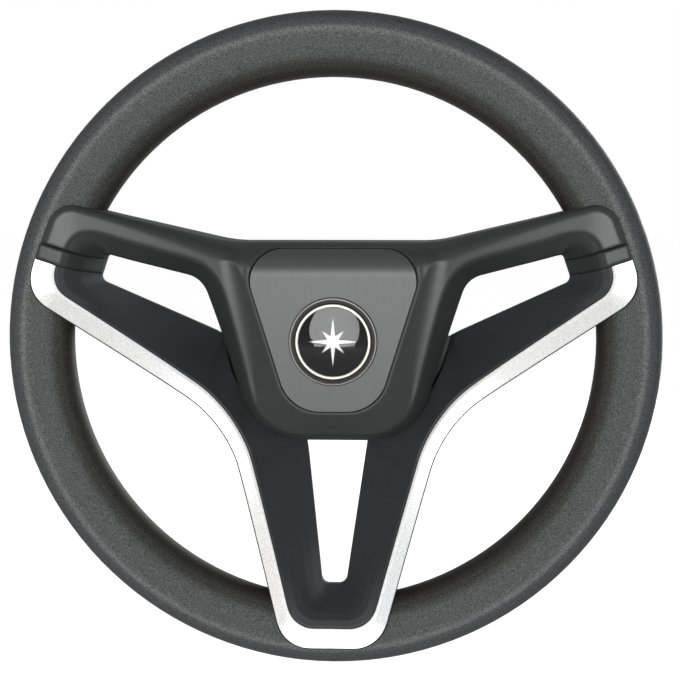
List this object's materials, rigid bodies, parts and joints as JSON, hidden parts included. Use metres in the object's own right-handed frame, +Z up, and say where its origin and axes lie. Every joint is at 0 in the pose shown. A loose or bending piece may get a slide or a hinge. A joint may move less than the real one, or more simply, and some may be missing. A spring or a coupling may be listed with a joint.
{
  "type": "boat steering wheel",
  "caption": "Dished helm wheel with a round soft grip, swept side spokes with sunk windows, a split bottom spoke, bright trim and a capped tapered hub.",
  "frame": {"origin": "centre of the hub's rear face, at the mouth of the shaft bore", "axes": "the wheel stands in the XZ plane with +Z up; its front faces -Y and +Y runs along the helm shaft, away from the helmsman"},
  "size_m": [0.35, 0.0859, 0.35],
  "materials": {
    "polyurethane_grip": "fine moulded grain, matt",
    "ring_steel": "plain drawn steel",
    "cast_aluminium": "as cast",
    "hub_steel": "turned",
    "screw_steel": "plain stainless",
    "satin_black_plastic": "satin, fine moulded grain",
    "matt_black_plastic": "matt, fine moulded grain",
    "brushed_trim": "bright satin, brushed",
    "foam_tape": "foam",
    "rear_plastic": "matt",
    "seal_rubber": "matt",
    "cap_plastic": "satin, fine vertical grain",
    "emblem_metal": "polished",
    "emblem_print": "printed",
    "emblem_resin": "clear poured resin"
  },
  "bodies": {
    "root": {"rim_grip": "polyurethane_grip", "rim_core": "ring_steel", "spoke_armature": "cast_aluminium", "hub_bush": "hub_steel", "hub_screws": "screw_steel", "upper_cover": "satin_black_plastic", "bridge_left": "satin_black_plastic", "bridge_right": "satin_black_plastic", "lower_frame": "matt_black_plastic", "silver_trim": "brushed_trim", "trim_tape": "foam_tape", "rear_cover": "rear_plastic", "hub_shroud": "rear_plastic", "shaft_seal": "seal_rubber", "centre_cap": "cap_plastic", "cap_gasket": "seal_rubber", "emblem_cup": "emblem_metal", "emblem_disc": "emblem_print", "emblem_dome": "emblem_resin", "inner_screws": "screw_steel", "back_screws": "screw_steel"}
  },
  "joints": []
}
